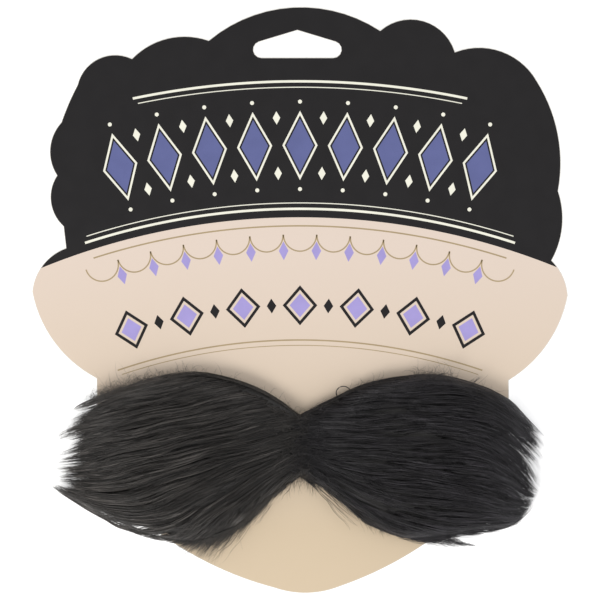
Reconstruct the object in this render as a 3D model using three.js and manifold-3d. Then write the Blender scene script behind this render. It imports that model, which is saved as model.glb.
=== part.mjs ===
// A false moustache of long black fur, stuck on the stiff card that it is sold on.
// The card lies on its back. Millimetres, +Z out of the printed face, +Y towards the hang slot,
// and the origin is the middle of the card's outline, on its back face.

import * as THREE from "three";
import { mergeVertices } from "three/addons/utils/BufferGeometryUtils.js";
import Module from "manifold-3d";

const wasm = await Module();
wasm.setup();

// The card: a stiff board, die-cut, with a peaked slot to hang it on a peg.
const CARD_WIDTH = 201;
const CARD_HEIGHT = 220;
const CARD_THICKNESS = 1;
const SLOT_WIDTH = 32.7;
const SLOT_HEIGHT = 10;
const SLOT_END_RADIUS = 2.9;
const SLOT_TOP_WEB = 9;
const SLOT_ACROSS = -1;

// The sticky strip between the card and the moustache's cloth.
const STRIP_THICKNESS = 0.6;
const STRIP_END_INSET = 9;
const STRIP_EDGE_INSET = 3.5;

// The moustache: two wings of fur on cloth, which meet in a seam at the middle.
const MOUSTACHE_ABOVE_CARD_FOOT = 56;
const LEFT_REACH = 92.5;
const RIGHT_REACH = 91;
const KNOT_HALF_HEIGHT = 11.6;
const WING_RISE = 27;
const WING_FALL = 36;
const CLOTH_THICKNESS = 1.2;
const CLOTH_HAIR_OVERHANG = 10;
const CLOTH_EDGE_INSET = 1.6;
const KNOT_PILE = 6.5;
const BELLY_PILE = 13.5;
const END_ROUNDING = 2;
const UNDERFUR_HEIGHT_SHARE = 0.72;
const LOCK_HALF_THICKNESS = 1.9;
const LOCK_TIP_RADIUS = 0.45;
const LOCK_WIDTH_SHARE = 1.24;
const LOCK_WAVES = 1.5;
const LOCK_WAVE_OFFSET = 2.3;
const LOCK_SWELLS_FROM = -0.25;
const LOCK_SWELLS_TO = 0.3;
const TUFT_ROOT_SHARE = 0.7;
const TUFT_DROOP_SHARE = 0.35;

// Clearances between the pieces.
const LAYER_GAP = 0.2;
const SEAM_GAP = 0.3;

// How finely curves are cut into flats.
const STEPS_PER_CARD_ARC = 14;
const STEPS_PER_SLOT_END = 6;
const CORE_SECTIONS = 11;
const CORE_TOP_POINTS = 9;
const LOCK_RINGS = 11;
const TUFT_RINGS = 8;
const LOCK_SIDES = 6;

const COLOURS = {
  card: 0xe3d1c4,
  strip: 0xe9e2cf,
  fur: 0x262427,
};

// The card's outline, clockwise from the left foot of the top curl. Each row is the corner where
// a stretch ends, in shares of half the card's width and height, and how far that stretch bows
// outwards, as a share of its own length.
const CARD_OUTLINE = [
  { across: 0.298, up: 0.92, bow: 0.165 },
  { across: 0.578, up: 0.847, bow: 0.27 },
  { across: 0.884, up: 0.746, bow: 0.186 },
  { across: 0.963, up: 0.371, bow: 0.094 },
  { across: 0.939, up: 0.134, bow: 0.105 },
  { across: 0.998, up: 0.014, bow: 0.09 },
  { across: 0.778, up: -0.276, bow: 0.107 },
  { across: 0.779, up: -0.409, bow: 0 },
  { across: 0.481, up: -0.824, bow: 0.13 },
  { across: 0.149, up: -0.979, bow: 0.035 },
  { across: -0.093, up: -0.985, bow: 0.09 },
  { across: -0.504, up: -0.811, bow: 0.045 },
  { across: -0.757, up: -0.409, bow: 0.13 },
  { across: -0.759, up: -0.269, bow: 0 },
  { across: -0.999, up: 0.027, bow: 0.115 },
  { across: -0.874, up: 0.177, bow: 0.145 },
  { across: -0.883, up: 0.249, bow: 0 },
  { across: -0.908, up: 0.424, bow: 0.183 },
  { across: -0.891, up: 0.606, bow: 0.17 },
  { across: -0.831, up: 0.733, bow: 0.02 },
  { across: -0.627, up: 0.824, bow: 0.24 },
  { across: -0.341, up: 0.886, bow: 0.146 },
];
// How far out the cheeks, the card's narrow stretch behind the moustache, stand.
const CHEEK_ACROSS = 0.757;

// A wing from the seam (along 0) to its longest hairs (along 1). top and bottom say how far the
// edge has gone from the knot's half height to the wing's full rise and fall, and pile how far
// the fur's height has gone from the knot's to the belly's.
const LEFT_SECTIONS = [
  { along: 0, top: 0, bottom: 0, pile: 0 },
  { along: 0.13, top: 0.52, bottom: 0.37, pile: 0.4 },
  { along: 0.26, top: 0.84, bottom: 0.79, pile: 0.74 },
  { along: 0.41, top: 1.02, bottom: 0.99, pile: 0.97 },
  { along: 0.56, top: 0.94, bottom: 0.95, pile: 1 },
  { along: 0.71, top: 0.64, bottom: 0.78, pile: 0.8 },
  { along: 0.85, top: 0.34, bottom: 0.52, pile: 0.3 },
  { along: 0.93, top: 0.06, bottom: 0.34, pile: -0.2 },
  { along: 1, top: -0.5, bottom: 0.18, pile: -0.6 },
];
const RIGHT_SECTIONS = [
  { along: 0, top: 0, bottom: 0, pile: 0 },
  { along: 0.13, top: 0.37, bottom: 0.28, pile: 0.4 },
  { along: 0.26, top: 0.72, bottom: 0.7, pile: 0.74 },
  { along: 0.41, top: 0.91, bottom: 0.94, pile: 0.97 },
  { along: 0.57, top: 0.94, bottom: 0.93, pile: 1 },
  { along: 0.73, top: 0.71, bottom: 0.84, pile: 0.8 },
  { along: 0.86, top: 0.35, bottom: 0.78, pile: 0.3 },
  { along: 0.94, top: -0.14, bottom: 0.57, pile: -0.2 },
  { along: 1, top: -0.52, bottom: 0.26, pile: -0.6 },
];

// The locks lie in two coats over a wing. widest is how far out the outermost lock lies, where 1
// is the wing's edge, and starts and ends are shares of the wing's reach. Within a coat the ends
// stagger by step. lift is a share of the fur's height, and bulk and waves thicken and bend a lock.
const COATS = [
  { locks: 9, widest: 0.93, starts: -0.03, ends: 1, step: 0.03, lift: 0.78, bulk: 1, waves: 0.02 },
  { locks: 8, widest: 0.8, starts: 0.06, ends: 0.95, step: 0.045, lift: 0.9, bulk: 0.8, waves: 0.06 },
];
// Stray tufts that leave the wing's lower edge. They start inside it, at along and across, and
// their tips lie out and down from there by shares of the wing's reach and fall.
const LEFT_TUFTS = [
  { along: 0.14, across: -0.7, out: 0.14, down: 0.53, bulk: 0.7 },
  { along: 0.19, across: -0.74, out: 0.15, down: 0.56, bulk: 0.8 },
  { along: 0.24, across: -0.79, out: 0.17, down: 0.51, bulk: 0.9 },
  { along: 0.32, across: -0.81, out: 0.17, down: 0.37, bulk: 0.8 },
];
const RIGHT_TUFTS = [
  { along: 0.44, across: -0.86, out: 0.19, down: 0.19, bulk: 0.7 },
  { along: 0.5, across: -0.85, out: 0.22, down: 0.18, bulk: 0.8 },
];

// Points of a closed outline made of bowed stretches. The rows go clockwise, and the points
// counterclockwise, as three.js wants a shape that has holes.
function bowedOutline(rows, halfWidth, halfHeight, steps) {
  const corners = rows.map((row) => new THREE.Vector2(row.across * halfWidth, row.up * halfHeight));
  const points = [];
  rows.forEach((row, i) => {
    const start = corners[(i + rows.length - 1) % rows.length];
    const end = corners[i];
    const chord = end.clone().sub(start);
    const outward = new THREE.Vector2(-chord.y, chord.x);
    if (row.bow === 0) {
      points.push(end);
      return;
    }
    const halfTurn = 2 * Math.atan(2 * row.bow);
    const centre = start
      .clone()
      .add(end)
      .multiplyScalar(0.5)
      .addScaledVector(outward, -0.5 / Math.tan(halfTurn));
    for (let k = 1; k <= steps; k++) {
      points.push(start.clone().rotateAround(centre, (-2 * halfTurn * k) / steps));
    }
  });
  return points.reverse();
}

// Stretches an outline a little, so that it is exactly as wide and high as asked, about 0, 0.
function fitOutline(points, width, height) {
  const box = new THREE.Box2().setFromPoints(points);
  const middle = box.getCenter(new THREE.Vector2());
  const size = box.getSize(new THREE.Vector2());
  const stretch = new THREE.Vector2(width / size.x, height / size.y);
  return points.map((p) => p.clone().sub(middle).multiply(stretch));
}

// The hang slot: a flat foot, round ends and two straight slopes up to a peak.
function slotOutline() {
  const foot = CARD_HEIGHT / 2 - SLOT_TOP_WEB - SLOT_HEIGHT;
  const endAcross = SLOT_WIDTH / 2 - SLOT_END_RADIUS;
  const toPeak = new THREE.Vector2(endAcross, SLOT_HEIGHT - SLOT_END_RADIUS);
  const slopeTouches = toPeak.angle() + Math.acos(SLOT_END_RADIUS / toPeak.length());
  const left = [];
  for (let k = 0; k <= STEPS_PER_SLOT_END; k++) {
    const angle = THREE.MathUtils.lerp(1.5 * Math.PI, slopeTouches, k / STEPS_PER_SLOT_END);
    left.push(
      new THREE.Vector2(
        -endAcross + SLOT_END_RADIUS * Math.cos(angle),
        SLOT_END_RADIUS * (1 + Math.sin(angle)),
      ),
    );
  }
  const right = left.map((p) => new THREE.Vector2(-p.x, p.y)).reverse();
  const shift = new THREE.Vector2(SLOT_ACROSS, foot);
  return [...left, new THREE.Vector2(0, SLOT_HEIGHT), ...right].map((p) => p.add(shift));
}

// A straight-sided solid of an outline, from its foot upwards.
function slab(outline, holes, thickness, foot) {
  const shape = new THREE.Shape(outline);
  shape.holes = holes.map((hole) => new THREE.Path(hole));
  const settings = { depth: thickness, bevelEnabled: false };
  return new THREE.ExtrudeGeometry(shape, settings).translate(0, 0, foot);
}

// A manifold solid of a closed three.js geometry.
function solidOf(geometry) {
  const bare = geometry.clone();
  bare.deleteAttribute("normal");
  bare.deleteAttribute("uv");
  const merged = mergeVertices(bare, 1e-4);
  return new wasm.Manifold(
    new wasm.Mesh({
      numProp: 3,
      vertProperties: new Float32Array(merged.attributes.position.array),
      triVerts: new Uint32Array(merged.index.array),
    }),
  );
}

function geometryOf(solid) {
  const mesh = solid.getMesh();
  const geometry = new THREE.BufferGeometry();
  geometry.setAttribute("position", new THREE.BufferAttribute(mesh.vertProperties, mesh.numProp));
  geometry.setIndex(new THREE.BufferAttribute(mesh.triVerts, 1));
  const flat = geometry.toNonIndexed();
  flat.computeVertexNormals();
  return flat;
}

// A closed skin over rings of points. Each ring goes counterclockwise seen from the last ring,
// and both ends are closed by a fan from the middle of their ring.
function skinOverRings(rings, insideOut) {
  const sides = rings[0].length;
  const positions = rings.flat();
  const faces = [];
  for (let r = 0; r + 1 < rings.length; r++) {
    for (let k = 0; k < sides; k++) {
      const a = r * sides + k;
      const b = r * sides + ((k + 1) % sides);
      faces.push([a, b, b + sides], [a, b + sides, a + sides]);
    }
  }
  const middleOf = (ring) =>
    ring.reduce((sum, p) => sum.add(p), new THREE.Vector3()).divideScalar(ring.length);
  const first = positions.push(middleOf(rings[0])) - 1;
  const last = positions.push(middleOf(rings.at(-1))) - 1;
  const lastRing = (rings.length - 1) * sides;
  for (let k = 0; k < sides; k++) {
    const next = (k + 1) % sides;
    faces.push([first, next, k], [last, lastRing + k, lastRing + next]);
  }
  const geometry = new THREE.BufferGeometry().setFromPoints(positions);
  geometry.setIndex(faces.flatMap(([a, b, c]) => (insideOut ? [a, c, b] : [a, b, c])));
  return geometry;
}

// One column of a table of sections at any place along it, as a smooth curve through its rows.
function columnAt(rows, column, along) {
  const last = rows.length - 1;
  const found = rows.findIndex((row) => row.along > along);
  const i = found < 0 ? last - 1 : Math.max(0, found - 1);
  const [a, b] = [rows[i], rows[i + 1]];
  const slope = (lower, upper) =>
    (rows[upper][column] - rows[lower][column]) / (rows[upper].along - rows[lower].along);
  const startSlope = slope(Math.max(0, i - 1), i + 1);
  const endSlope = slope(i, Math.min(last, i + 2));
  const span = b.along - a.along;
  const t = (along - a.along) / span;
  const [t2, t3] = [t * t, t * t * t];
  return (
    (2 * t3 - 3 * t2 + 1) * a[column] +
    (t3 - 2 * t2 + t) * span * startSlope +
    (3 * t2 - 2 * t3) * b[column] +
    (t3 - t2) * span * endSlope
  );
}

const MOUSTACHE_MIDDLE = MOUSTACHE_ABOVE_CARD_FOOT - CARD_HEIGHT / 2;
const CLOTH_FOOT = CARD_THICKNESS + LAYER_GAP + STRIP_THICKNESS + LAYER_GAP;
const CLOTH_TOP = CLOTH_FOOT + CLOTH_THICKNESS;

// The form of one wing. side is 1 on the right and -1 on the left.
class WingForm {
  constructor(side, reach, sections) {
    this.side = side;
    this.reach = reach;
    this.sections = sections;
  }

  // Height of the wing's edge above its middle line: the top edge for 1, the bottom one for -1.
  edge(along, across) {
    const [column, full] = across > 0 ? ["top", WING_RISE] : ["bottom", WING_FALL];
    const share = columnAt(this.sections, column, along);
    return THREE.MathUtils.lerp(KNOT_HALF_HEIGHT, full, share) * Math.sign(across);
  }

  // Width of the fur from its bottom edge to its top edge.
  breadth(along) {
    return this.edge(along, 1) - this.edge(along, -1);
  }

  // Height of the fur above the cloth. It rounds off at the edges.
  pile(along, across) {
    const share = columnAt(this.sections, "pile", along);
    const full = THREE.MathUtils.lerp(KNOT_PILE, BELLY_PILE, share);
    return full * Math.sqrt(Math.max(0, 1 - Math.abs(across) ** 3));
  }

  // A point at a share of the fur's height, in the row frame.
  point(along, across, heightShare) {
    const middle = (this.edge(along, 1) + this.edge(along, -1)) / 2;
    const roundedOff = END_ROUNDING * along ** 3 * across ** 2;
    return new THREE.Vector3(
      this.side * (along * this.reach - roundedOff),
      MOUSTACHE_MIDDLE + middle + (across * this.breadth(along)) / 2,
      CLOTH_TOP + this.pile(along, across) * heightShare,
    );
  }
}

// The cloth with the dense fur that stands on it: a low mound inside the locks.
function furCore(form) {
  const endAlong = 1 - CLOTH_HAIR_OVERHANG / form.reach;
  const rings = [];
  for (let s = 0; s < CORE_SECTIONS; s++) {
    const along = (endAlong * s) / (CORE_SECTIONS - 1);
    const inset = 1 - (2 * CLOTH_EDGE_INSET) / form.breadth(along);
    const ring = [];
    for (let k = 0; k < CORE_TOP_POINTS; k++) {
      const across = Math.cos((Math.PI * k) / (CORE_TOP_POINTS - 1));
      ring.push(form.point(along, across * inset, UNDERFUR_HEIGHT_SHARE));
    }
    const [topEdge, bottomEdge] = [ring[0].clone(), ring.at(-1).clone()];
    ring.unshift(topEdge.setZ(CLOTH_FOOT));
    ring.push(bottomEdge.setZ(CLOTH_FOOT));
    rings.push(ring);
  }
  return solidOf(skinOverRings(rings, form.side < 0));
}

// A tapering lock through a list of middle points, with half widths across the fur.
function lockAlong(path, halfWidths, halfThicknesses) {
  const rings = path.map((centre, i) => {
    const before = path[Math.max(0, i - 1)];
    const after = path[Math.min(path.length - 1, i + 1)];
    const forward = after.clone().sub(before).normalize();
    const sideways = new THREE.Vector3(0, 0, 1).cross(forward).normalize();
    const upwards = forward.clone().cross(sideways);
    const ring = [];
    for (let k = 0; k < LOCK_SIDES; k++) {
      const angle = (2 * Math.PI * k) / LOCK_SIDES;
      ring.push(
        centre
          .clone()
          .addScaledVector(sideways, halfWidths[i] * Math.cos(angle))
          .addScaledVector(upwards, halfThicknesses[i] * Math.sin(angle)),
      );
    }
    return ring;
  });
  return solidOf(skinOverRings(rings, false));
}

// How full a lock is along its length: it swells from its root and tapers to its tip.
function fullness(t) {
  const swell = THREE.MathUtils.smoothstep(t, LOCK_SWELLS_FROM, LOCK_SWELLS_TO);
  const taper = 1 - t ** 4;
  return swell * taper;
}

// The locks of one coat, side by side. Each is a little wider than its share of the fur's breadth,
// so that neighbours run into each other, and each waves out of step with the last.
function coatLocks(form, coat) {
  const locks = [];
  for (let n = 0; n < coat.locks; n++) {
    const place = (2 * n) / (coat.locks - 1) - 1;
    const across = place * coat.widest;
    const ends = coat.ends - coat.step * ((2 * n) % 3);
    const path = [];
    const halfWidths = [];
    const halfThicknesses = [];
    for (let r = 0; r < LOCK_RINGS; r++) {
      const t = r / (LOCK_RINGS - 1);
      const along = THREE.MathUtils.lerp(coat.starts, ends, t);
      const wave = coat.waves * Math.sin(2 * Math.PI * LOCK_WAVES * t + LOCK_WAVE_OFFSET * n);
      path.push(form.point(along, across + wave, coat.lift));
      const share = fullness(t) * coat.bulk;
      const room = (LOCK_WIDTH_SHARE * form.breadth(along)) / coat.locks;
      halfWidths.push(LOCK_TIP_RADIUS + (room * share) / 2);
      halfThicknesses.push(LOCK_TIP_RADIUS + LOCK_HALF_THICKNESS * share);
    }
    locks.push(lockAlong(path, halfWidths, halfThicknesses));
  }
  return locks;
}

// A lock that droops from inside the fur to the level of the cloth, past the wing's lower edge.
function tuftLock(form, tuft) {
  const root = form.point(tuft.along, tuft.across, TUFT_ROOT_SHARE);
  const tip = root.clone();
  tip.x += form.side * tuft.out * form.reach;
  tip.y -= tuft.down * WING_FALL;
  tip.z = CLOTH_TOP + LOCK_HALF_THICKNESS;
  const bend = root.clone().lerp(tip, 0.5);
  bend.z = THREE.MathUtils.lerp(root.z, tip.z, TUFT_DROOP_SHARE);
  const curve = new THREE.QuadraticBezierCurve3(root, bend, tip);
  const path = curve.getPoints(TUFT_RINGS - 1);
  const shares = path.map((_, i) => fullness(i / (path.length - 1)) * tuft.bulk);
  return lockAlong(
    path,
    shares.map((share) => LOCK_TIP_RADIUS + 2 * LOCK_HALF_THICKNESS * share),
    shares.map((share) => LOCK_TIP_RADIUS + LOCK_HALF_THICKNESS * share),
  );
}

// The solid without the sealed pockets between its locks, which are full of hair.
function outerSkin(solid) {
  const skins = solid.decompose();
  return skins.reduce((largest, skin) => (skin.volume() > largest.volume() ? skin : largest));
}

// One wing: the cloth, its fur and all its locks in one solid, cut flat at the seam and beneath.
function wing(form, tufts) {
  const pieces = [
    furCore(form),
    ...COATS.flatMap((coat) => coatLocks(form, coat)),
    ...tufts.map((tuft) => tuftLock(form, tuft)),
  ];
  return outerSkin(
    wasm.Manifold.union(pieces)
      .trimByPlane([form.side, 0, 0], SEAM_GAP / 2)
      .trimByPlane([0, 0, 1], CLOTH_FOOT),
  );
}

function card() {
  const drawn = bowedOutline(CARD_OUTLINE, CARD_WIDTH / 2, CARD_HEIGHT / 2, STEPS_PER_CARD_ARC);
  const outline = fitOutline(drawn, CARD_WIDTH, CARD_HEIGHT);
  return slab(outline, [slotOutline()], CARD_THICKNESS, 0);
}

// The sticky strip stops short of the cloth's ends and of the card's cheeks.
function stickyStrip() {
  const cheek = (CHEEK_ACROSS * CARD_WIDTH) / 2;
  const halfHeight = KNOT_HALF_HEIGHT - STRIP_EDGE_INSET;
  const reachOf = (reach) => Math.min(reach - CLOTH_HAIR_OVERHANG, cheek) - STRIP_END_INSET;
  const [left, right] = [reachOf(LEFT_REACH), reachOf(RIGHT_REACH)];
  const strip = new THREE.BoxGeometry(left + right, 2 * halfHeight, STRIP_THICKNESS);
  const middle = CARD_THICKNESS + LAYER_GAP + STRIP_THICKNESS / 2;
  return strip.translate((right - left) / 2, MOUSTACHE_MIDDLE, middle);
}

function namedMesh(name, geometry, color, roughness) {
  const material = new THREE.MeshStandardMaterial({ color, roughness, metalness: 0 });
  const mesh = new THREE.Mesh(geometry, material);
  mesh.name = name;
  return mesh;
}

const leftForm = new WingForm(-1, LEFT_REACH, LEFT_SECTIONS);
const rightForm = new WingForm(1, RIGHT_REACH, RIGHT_SECTIONS);

const moustache = new THREE.Group();
moustache.name = "moustache";
moustache.add(
  namedMesh("left_wing", geometryOf(wing(leftForm, LEFT_TUFTS)), COLOURS.fur, 0.55),
  namedMesh("right_wing", geometryOf(wing(rightForm, RIGHT_TUFTS)), COLOURS.fur, 0.55),
);

const part = new THREE.Group();
part.name = "moustache_on_card";
part.add(
  namedMesh("card", card(), COLOURS.card, 0.4),
  namedMesh("sticky_strip", stickyStrip(), COLOURS.strip, 0.6),
  moustache,
);

export default part;
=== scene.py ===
"""A false moustache of long black fur, stuck on the stiff printed card that it is sold on.

The card lies on its back on a pale floor and the camera looks straight down on it. The board,
its printed layers, the cloth, the dense fur on it and the hairs are pieces of their own. The
hairs are laid along the nap, which fans out from the pinched seam in the middle.
"""

import math
from collections import namedtuple

import bmesh
import bpy
import numpy as np
from bpy.props import FloatProperty, FloatVectorProperty, IntProperty, PointerProperty
from mathutils import Matrix, Vector


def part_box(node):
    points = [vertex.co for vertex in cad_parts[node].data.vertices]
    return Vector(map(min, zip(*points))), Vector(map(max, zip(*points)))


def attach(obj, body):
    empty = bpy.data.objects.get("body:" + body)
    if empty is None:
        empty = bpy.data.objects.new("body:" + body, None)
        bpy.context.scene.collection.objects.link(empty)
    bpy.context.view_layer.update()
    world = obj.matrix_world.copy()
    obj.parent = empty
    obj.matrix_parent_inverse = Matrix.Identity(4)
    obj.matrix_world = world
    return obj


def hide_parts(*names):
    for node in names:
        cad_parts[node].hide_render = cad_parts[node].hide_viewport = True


bl_info = {
    "name": "Moustache on a Card",
    "version": (1, 0, 0),
    "blender": (4, 5, 0),
    "location": "3D View > Sidebar > Moustache",
    "description": "A false moustache of long black fur on its printed, die-cut card",
    "category": "Object",
}

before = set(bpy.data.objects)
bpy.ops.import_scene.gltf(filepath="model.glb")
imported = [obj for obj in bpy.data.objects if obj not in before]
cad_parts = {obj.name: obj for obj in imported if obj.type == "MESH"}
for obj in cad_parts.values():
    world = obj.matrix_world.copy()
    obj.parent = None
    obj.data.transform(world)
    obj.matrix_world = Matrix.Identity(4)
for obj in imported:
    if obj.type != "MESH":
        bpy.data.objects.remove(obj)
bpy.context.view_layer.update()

MM = 0.001
STRIP_LOW, STRIP_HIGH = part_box("sticky_strip")
CARD_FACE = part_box("card")[1].z
CLOTH_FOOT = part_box("left_wing")[0].z
MOUSTACHE_MIDDLE = (STRIP_LOW.y + STRIP_HIGH.y) / 2
# Vertices nearer than this are merged, and faces within this angle of each other are one.
MERGE_DISTANCE = 0.002 * MM
FLAT_ANGLE = math.radians(0.5)
# How far a face's normal points upwards: more than this on the front, and less on the sides.
FRONT_FACE, SIDE_FACE = 0.9, 0.5

# The moustache's own sizes, as its solids have them.
LEFT_REACH = 92.5 * MM
RIGHT_REACH = 91 * MM
KNOT_HALF_HEIGHT = 11.6 * MM
WING_RISE = 27 * MM
WING_FALL = 36 * MM
CLOTH_THICKNESS = 1.2 * MM
CLOTH_HAIR_OVERHANG = 10 * MM
CLOTH_EDGE_INSET = 1.6 * MM
KNOT_PILE = 6.5 * MM
BELLY_PILE = 13.5 * MM
END_ROUNDING = 2 * MM
CLOTH_TOP = CLOTH_FOOT + CLOTH_THICKNESS

# A wing from the seam (along 0) to its longest hairs (along 1): along, top, bottom, pile.
# top and bottom say how far the edge has gone from the knot's half height to the wing's full
# rise and fall, and pile how far the fur's height has gone from the knot's to the belly's.
LEFT_SECTIONS = np.array(
    [
        (0, 0, 0, 0),
        (0.13, 0.52, 0.37, 0.4),
        (0.26, 0.84, 0.79, 0.74),
        (0.41, 1.02, 0.99, 0.97),
        (0.56, 0.94, 0.95, 1),
        (0.71, 0.64, 0.78, 0.8),
        (0.85, 0.34, 0.52, 0.3),
        (0.93, 0.06, 0.34, -0.2),
        (1, -0.5, 0.18, -0.6),
    ]
)
RIGHT_SECTIONS = np.array(
    [
        (0, 0, 0, 0),
        (0.13, 0.37, 0.28, 0.4),
        (0.26, 0.72, 0.7, 0.74),
        (0.41, 0.91, 0.94, 0.97),
        (0.57, 0.94, 0.93, 1),
        (0.73, 0.71, 0.84, 0.8),
        (0.86, 0.35, 0.78, 0.3),
        (0.94, -0.14, 0.57, -0.2),
        (1, -0.52, 0.26, -0.6),
    ]
)
TOP, BOTTOM, PILE = 1, 2, 3

# Which way the hairs lie, as degrees below level going outwards. Each row is a place along the
# wing, and then the nap at the bottom edge, low down, in the middle, high up and at the top edge.
LEFT_NAP = np.array(
    [
        (0, 52, 30, 12, 10, 14),
        (0.2, 52, 33, 14, 11, 11),
        (0.4, 44, 30, 14, 12, 10),
        (0.55, 6, 24, 14, 12, 11),
        (0.7, -20, 10, 14, 12, 14),
        (0.85, -30, 3, 13, 17, 18),
        (1, -32, 8, 15, 19, 20),
    ]
)
RIGHT_NAP = np.array(
    [
        (0, 48, 20, 4, 0, -4),
        (0.2, 44, 19, 3, -3, -8),
        (0.4, 18, 12, 2, -4, -6),
        (0.55, 7, 8, 3, -1, 0),
        (0.7, 3, 9, 10, 11, 14),
        (0.85, -14, 26, 38, 36, 31),
        (1, -40, 58, 64, 55, 43),
    ]
)
# How far hairs hang over the bottom edge, as shares of half the wing's breadth: along, overhang.
LEFT_OVERHANG = np.array([(0, 0), (0.06, 0), (0.14, 0.05), (0.42, 0.04), (0.52, 0), (1, 0)])
RIGHT_OVERHANG = np.array([(0, 0.03), (0.08, 0.03), (0.35, 0.015), (0.5, 0.03), (0.62, 0), (1, 0)])
# Hairs of one lane end together, so that the wing's end has clumps and gaps. A lane is where the
# hairs pass LANE_OUT, in millimetres over the middle line. Each row is a lane, how far out from the
# seam its last hairs reach and how far before that its hairs start to end.
LANE_OUT = 79
LEFT_ENDS = np.array(
    [
        (-26, 93.6, 1),
        (-23.5, 93.2, 2.5),
        (-21.5, 93, 7),
        (-17.6, 92.6, 9),
        (-15.4, 90.6, 6),
        (-14.8, 87, 2),
        (-14.5, 87, 2),
        (-14.1, 90.5, 6),
        (-9, 91.2, 9),
        (-6, 92, 9.5),
        (-4.2, 88, 7),
        (-3, 90.5, 8.5),
        (-1.9, 84.6, 2.5),
        (-0.8, 91.8, 9.5),
        (0.6, 87, 5),
        (3.4, 84.5, 3.5),
        (5.4, 90.6, 9),
        (8, 91.8, 8),
        (10, 86, 5),
        (12, 83.4, 7),
        (13.4, 84.4, 8),
        (15, 85.2, 8),
        (17, 83.5, 7),
    ]
)
RIGHT_ENDS = np.array(
    [
        (-31, 80, 0.8),
        (-29, 83, 0.8),
        (-25, 85.4, 1),
        (-20, 87.4, 1.5),
        (-15, 88.5, 2),
        (-10.5, 89.4, 3),
        (-5, 89.8, 4),
        (1, 90, 5.5),
        (4.6, 90.8, 3.5),
        (7, 91.6, 4),
        (9.8, 92.2, 5),
        (12.5, 93, 6),
        (15, 92.8, 7),
        (17, 89.5, 6.5),
        (19, 86, 5),
    ]
)
# How much further in the cloth's bottom edge lies, in millimetres: along, inset.
LEFT_BARE = np.array([(0, 0), (0.48, 0), (0.62, 4), (0.85, 6)])
RIGHT_BARE = np.array([(0, 0), (0.62, 0), (0.78, 2), (0.85, 2)])
# Where hairs part and the floor shows: out from the seam and up from the middle line, half the
# length and half the width, all in millimetres, and degrees below level.
LEFT_SLITS = (
    (72.6, -25.4, 3.8, 0.66, -24),
    (67.5, -29.4, 3.9, 0.72, -20),
    (59.2, -30.6, 3.8, 0.8, -12),
    (63.5, -27.6, 2.6, 0.2, -14),
)
RIGHT_SLITS = (
    (87.6, -10.6, 2.8, 0.4, 68),
    (86.0, -11.4, 2.6, 0.36, 66),
    (83.2, -16.4, 1.9, 0.34, 52),
)
# The fur's height rounds off at its edges, down to a share of the whole.
EDGE_FALL = 4
EDGE_LEVEL = 0.02
# How far the hairs may reach over the bottom edge where its line is crisp.
CRISP_EDGE = -1.04


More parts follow.
